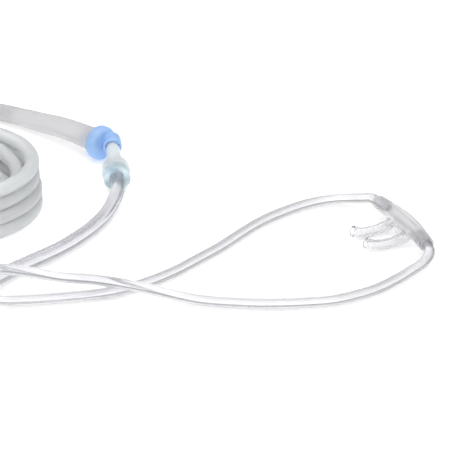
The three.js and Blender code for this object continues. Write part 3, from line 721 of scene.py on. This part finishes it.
# %% [markdown]
# ## Materials
# All the plastics let light through, and differ in how clear they are. Clear vinyl bends the light like
# glass, with a grey tint that adds up wall by wall. The nosepiece is slightly frosted, the sleeve is cloudy,
# and the swivel and the connector are tinted. Small changes of tint and gloss keep them from looking
# computed: clouds a few millimetres across, and on the moulded ones a fine bump.

# %% A plastic
CLOUD_SCALE = 220.0
CLOUD_EDGES = (0.35, 0.65)
GRAIN_SCALE = 2600.0
GRAIN_HEIGHT = 0.0001
VINYL_IOR = 1.46


def bare_plastic(name, clearness, bump, ior):
    """A plastic without tint yet: how much light it lets by, and its fine bump, if it has one."""
    material = bpy.data.materials.new(name)
    material.use_nodes = True
    nodes = material.node_tree.nodes
    links = material.node_tree.links
    shader = nodes["Principled BSDF"]
    shader.distribution = "MULTI_GGX"
    shader.inputs["Transmission Weight"].default_value = clearness
    shader.inputs["IOR"].default_value = ior
    place = nodes.new("ShaderNodeTexCoord").outputs["Object"]
    if bump:
        fine = nodes.new("ShaderNodeTexNoise")
        fine.inputs["Scale"].default_value = GRAIN_SCALE
        links.new(place, fine.inputs["Vector"])
        relief = nodes.new("ShaderNodeBump")
        relief.inputs["Strength"].default_value = bump
        relief.inputs["Distance"].default_value = GRAIN_HEIGHT
        links.new(fine.outputs["Fac"], relief.inputs["Height"])
        links.new(relief.outputs["Normal"], shader.inputs["Normal"])
    return material, place


def vary(material, share, tints, tint_ends, roughness):
    """Takes the tint and the roughness from the first to the second as share goes from 0 to 1."""
    nodes = material.node_tree.nodes
    links = material.node_tree.links
    shader = nodes["Principled BSDF"]
    ramp = nodes.new("ShaderNodeValToRGB")
    for element, tint, end in zip(ramp.color_ramp.elements, tints, tint_ends):
        element.position = end
        element.color = (*tint, 1)
    links.new(share, ramp.inputs["Fac"])
    links.new(ramp.outputs["Color"], shader.inputs["Base Color"])
    gloss = nodes.new("ShaderNodeMapRange")
    gloss.inputs["To Min"].default_value = roughness[0]
    gloss.inputs["To Max"].default_value = roughness[1]
    links.new(share, gloss.inputs["Value"])
    links.new(gloss.outputs["Result"], shader.inputs["Roughness"])


def plastic(name, tints, roughness, clearness, bump=0.0, ior=VINYL_IOR):
    """A see-through plastic that changes a little in soft clouds."""
    material, place = bare_plastic(name, clearness, bump, ior)
    clouds = material.node_tree.nodes.new("ShaderNodeTexNoise")
    clouds.inputs["Scale"].default_value = CLOUD_SCALE
    clouds.inputs["Detail"].default_value = 3.0
    material.node_tree.links.new(place, clouds.inputs["Vector"])
    vary(material, clouds.outputs["Fac"], tints, CLOUD_EDGES, roughness)
    return material


def dress(piece, material):
    piece.data.materials.clear()
    piece.data.materials.append(material)


clear_vinyl = plastic("clear vinyl", [(0.885, 0.885, 0.9), (0.905, 0.905, 0.917)], (0.16, 0.22), 1.0)
tail_vinyl = plastic("tail vinyl", [(0.9, 0.9, 0.92), (0.92, 0.92, 0.94)], (0.14, 0.2), 1.0)
coil_vinyl = plastic("coil vinyl", [(0.97, 0.983, 0.99), (0.98, 0.991, 0.997)], (0.28, 0.38), 0.64, ior=1.4)
cloudy_vinyl = plastic("cloudy vinyl", [(0.925, 0.92, 0.93), (0.945, 0.94, 0.95)], (0.3, 0.42), 0.62, 0.03)
blue_plastic = plastic("blue plastic", [(0.36, 0.6, 0.96), (0.44, 0.66, 0.98)], (0.24, 0.36), 0.33, 0.05)
nozzle_plastic = plastic("nozzle plastic", [(0.93, 0.98, 0.998), (0.95, 0.99, 1.0)], (0.3, 0.4), 0.5)

# %% [markdown]
# Two pieces change along their length. The nosepiece's body is frosted and its prongs are clear, because the
# mould is polished there. The connector is teal at the tail tube, and towards the nozzle its tint fades to
# near
# white: a painted highlight on the end that faces the soft box overhead. Both changes follow the place on the
# piece: how far a point lies along one direction, in the piece's own coordinates.

# %% Plastics that change along a direction
MOULDED_BUMP = 0.01


def changing_plastic(name, middle, along, span, tints, roughness, clearness):
    """A plastic with one tint and roughness up to the first end of the span, and the other after it."""
    material, place = bare_plastic(name, clearness, MOULDED_BUMP, VINYL_IOR)
    nodes = material.node_tree.nodes
    links = material.node_tree.links
    offset = nodes.new("ShaderNodeVectorMath")
    offset.operation = "SUBTRACT"
    offset.inputs[1].default_value = Vector(middle) * MM
    reach = nodes.new("ShaderNodeVectorMath")
    reach.operation = "DOT_PRODUCT"
    reach.inputs[1].default_value = Vector(along).normalized()
    share = nodes.new("ShaderNodeMapRange")
    share.inputs["From Min"].default_value = span[0] * MM
    share.inputs["From Max"].default_value = span[1] * MM
    links.new(place, offset.inputs[0])
    links.new(offset.outputs["Vector"], reach.inputs[0])
    links.new(reach.outputs["Value"], share.inputs["Value"])
    vary(material, share.outputs["Result"], tints, (0.0, 1.0), roughness)
    return material


frosted_vinyl = changing_plastic(
    "frosted vinyl", NOSE_MIDDLE, PRONG_DIRECTION, (2.8, 5.5),
    [(0.93, 0.93, 0.945), (0.9, 0.9, 0.912)], (0.4, 0.08), 0.97,
)
# The teal at the tail end is the connector's own tint; the near white at the nozzle end is painted highlight.
teal_plastic = changing_plastic(
    "teal plastic with painted highlight", connector_start, NOZZLE_AXIS, (4.0, 8.5),
    [(0.98, 0.99, 0.995), (0.72, 0.89, 0.95)], (0.36, 0.3), 0.78,
)

dress(near_tube, clear_vinyl)
dress(far_tube, clear_vinyl)
dress(tail_tube, tail_vinyl)
dress(extension_tube, coil_vinyl)
dress(sleeve, cloudy_vinyl)
dress(nozzle, nozzle_plastic)
dress(connector, teal_plastic)
dress(end_socket, nozzle_plastic)
dress(nosepiece, frosted_vinyl)
dress(swivel, blue_plastic)
dress(junction, clear_vinyl)
dress(slide, clear_vinyl)
print("materials:", [material.name for material in bpy.data.materials if material.users])

# %% [markdown]
# ## What each piece stands for
# Every piece rides on a body of the frame and replaces the plain solid of its nodes, which are hidden. Each
# row also names a material slot of the record, which the loop below doesn't use.

# %% Ride and replace
rides = [
    (nosepiece, "root", ["nosepiece"], "frosted_vinyl"),
    (near_tube, "root", ["lariat_near"], "clear_vinyl"),
    (far_tube, "root", ["lariat_far"], "clear_vinyl"),
    (junction, "root", ["y_junction"], "clear_vinyl"),
    (slide, "slider", ["slide"], "clear_vinyl"),
    (tail_tube, "root", ["tail_tube"], "clear_vinyl"),
    (connector, "turning_nozzle", ["tail_connector"], "teal_plastic"),
    (nozzle, "turning_nozzle", ["nozzle"], "clear_vinyl"),
    (swivel, "root", ["swivel_elbow"], "blue_plastic"),
    (sleeve, "root", ["bell_connector"], "grey_vinyl"),
    (extension_tube, "root", ["extension_lead", "extension_coil", "extension_tail"], "clear_vinyl"),
    (end_socket, "root", ["end_connector"], "clear_vinyl"),
]
for piece, body, nodes_replaced, slot in rides:
    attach(piece, body)
    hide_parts(*nodes_replaced)

# %% [markdown]
# ## Table, light and air
# The photograph is very bright: a white table, soft light and white all round. A large soft box hangs above
# the table, a smaller one in front lights the sides that face the camera, and the table itself glows a
# little, so that the shadows stay faint. Clear plastic only shows by what it bends into view, so the sky of
# this studio is white overhead and greyer low down. That grey is what draws the edges of the tubes.

# %% Table
TABLE_GLOW = 0.3
bpy.ops.mesh.primitive_plane_add(size=6, location=(0, 0, -0.0002))
table = bpy.context.object
table.name = "table"
table_finish = bpy.data.materials.new("white table")
table_finish.use_nodes = True
table_shader = table_finish.node_tree.nodes["Principled BSDF"]
table_shader.inputs["Base Color"].default_value = (0.93, 0.93, 0.93, 1)
table_shader.inputs["Roughness"].default_value = 0.7
table_shader.inputs["Specular IOR Level"].default_value = 0.2
table_shader.inputs["Emission Color"].default_value = (1, 1, 1, 1)
table_shader.inputs["Emission Strength"].default_value = TABLE_GLOW
table.data.materials.append(table_finish)

# %% Studio light
SKY_LOW = 0.38
SKY_HIGH = 1.0
SKY_STRENGTH = 0.8
CLEAR_BOUNCES = 48
PLAIN_BOUNCES = 16
world = bpy.data.worlds.new("studio")
world.use_nodes = True
bpy.context.scene.world = world
sky_nodes = world.node_tree.nodes
sky_links = world.node_tree.links
sky_place = sky_nodes.new("ShaderNodeTexCoord")
sky_split = sky_nodes.new("ShaderNodeSeparateXYZ")
sky_ramp = sky_nodes.new("ShaderNodeValToRGB")
sky_ramp.color_ramp.elements[0].position = 0.1
sky_ramp.color_ramp.elements[0].color = (SKY_LOW, SKY_LOW, SKY_LOW * 1.04, 1)
sky_ramp.color_ramp.elements[1].position = 0.45
sky_ramp.color_ramp.elements[1].color = (SKY_HIGH, SKY_HIGH, SKY_HIGH, 1)
sky_links.new(sky_place.outputs["Generated"], sky_split.inputs["Vector"])
sky_links.new(sky_split.outputs["Z"], sky_ramp.inputs["Fac"])
sky_links.new(sky_ramp.outputs["Color"], sky_nodes["Background"].inputs["Color"])
sky_nodes["Background"].inputs["Strength"].default_value = SKY_STRENGTH


def soft_box(place, wide, high, power):
    """A rectangle of soft light that faces the cannula."""
    bpy.ops.object.light_add(type="AREA", location=place)
    box = bpy.context.object
    box.data.shape = "RECTANGLE"
    box.data.size = wide
    box.data.size_y = high
    box.data.energy = power
    box.rotation_euler = (looked_at - box.location).to_track_quat("-Z", "Y").to_euler()


soft_box((-0.1, 0.15, 1.3), wide=1.5, high=0.9, power=7)
soft_box((-0.1, -0.9, 0.32), wide=1.4, high=0.5, power=5)

scene = bpy.context.scene
scene.view_settings.view_transform = "Standard"
scene.cycles.max_bounces = CLEAR_BOUNCES
scene.cycles.transmission_bounces = CLEAR_BOUNCES
scene.cycles.diffuse_bounces = PLAIN_BOUNCES
scene.cycles.glossy_bounces = PLAIN_BOUNCES
print("light: world", SKY_LOW, "to", SKY_HIGH, "and two soft boxes")
